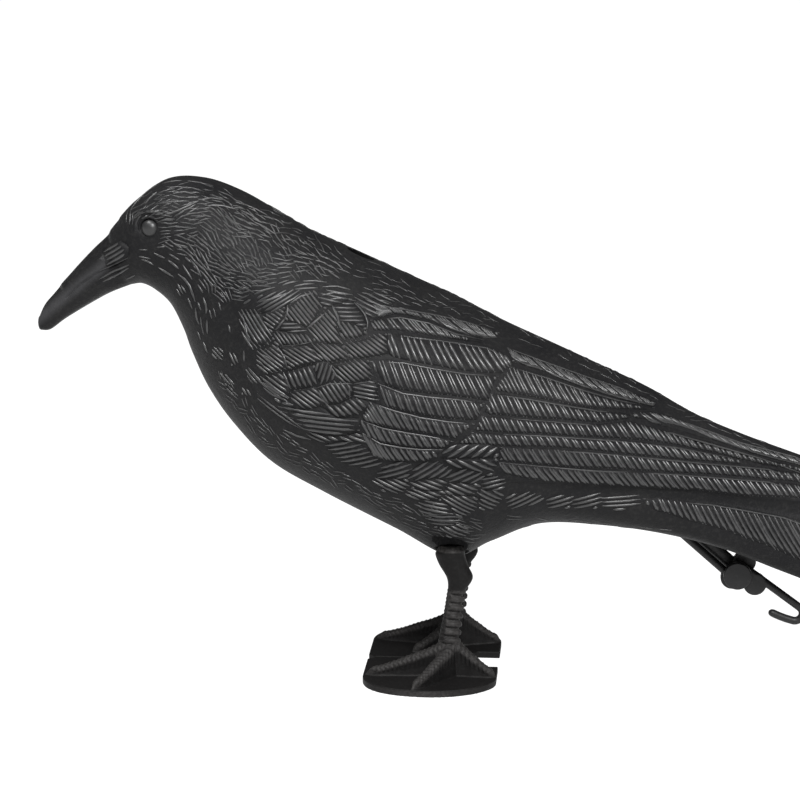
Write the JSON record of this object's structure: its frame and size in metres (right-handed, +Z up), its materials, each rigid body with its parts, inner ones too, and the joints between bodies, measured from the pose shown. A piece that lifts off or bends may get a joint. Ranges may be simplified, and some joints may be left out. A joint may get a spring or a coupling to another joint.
{
  "type": "crow decoy",
  "caption": "Life-size black plastic crow decoy standing on two moulded legs with foot plates, with a hanging clip and hook under the tail.",
  "frame": {"origin": "on the ground under the middle of the whole box", "axes": "+X from the beak to the tail, +Y to the bird's right, +Z up"},
  "size_m": [0.3808, 0.1064, 0.2163],
  "materials": {
    "body_plastic": "semi-matte black plastic with moulded feather relief",
    "leg_plastic": "satin black plastic with moulded scutes",
    "clip_plastic": "plain matte black plastic"
  },
  "bodies": {
    "root": {"body": "body_plastic", "left_leg": "leg_plastic", "right_leg": "leg_plastic", "clip_lower_jaw": "clip_plastic", "clip_upper_jaw": "clip_plastic", "clip_pivot": "clip_plastic", "clip_hook": "clip_plastic"}
  },
  "joints": []
}
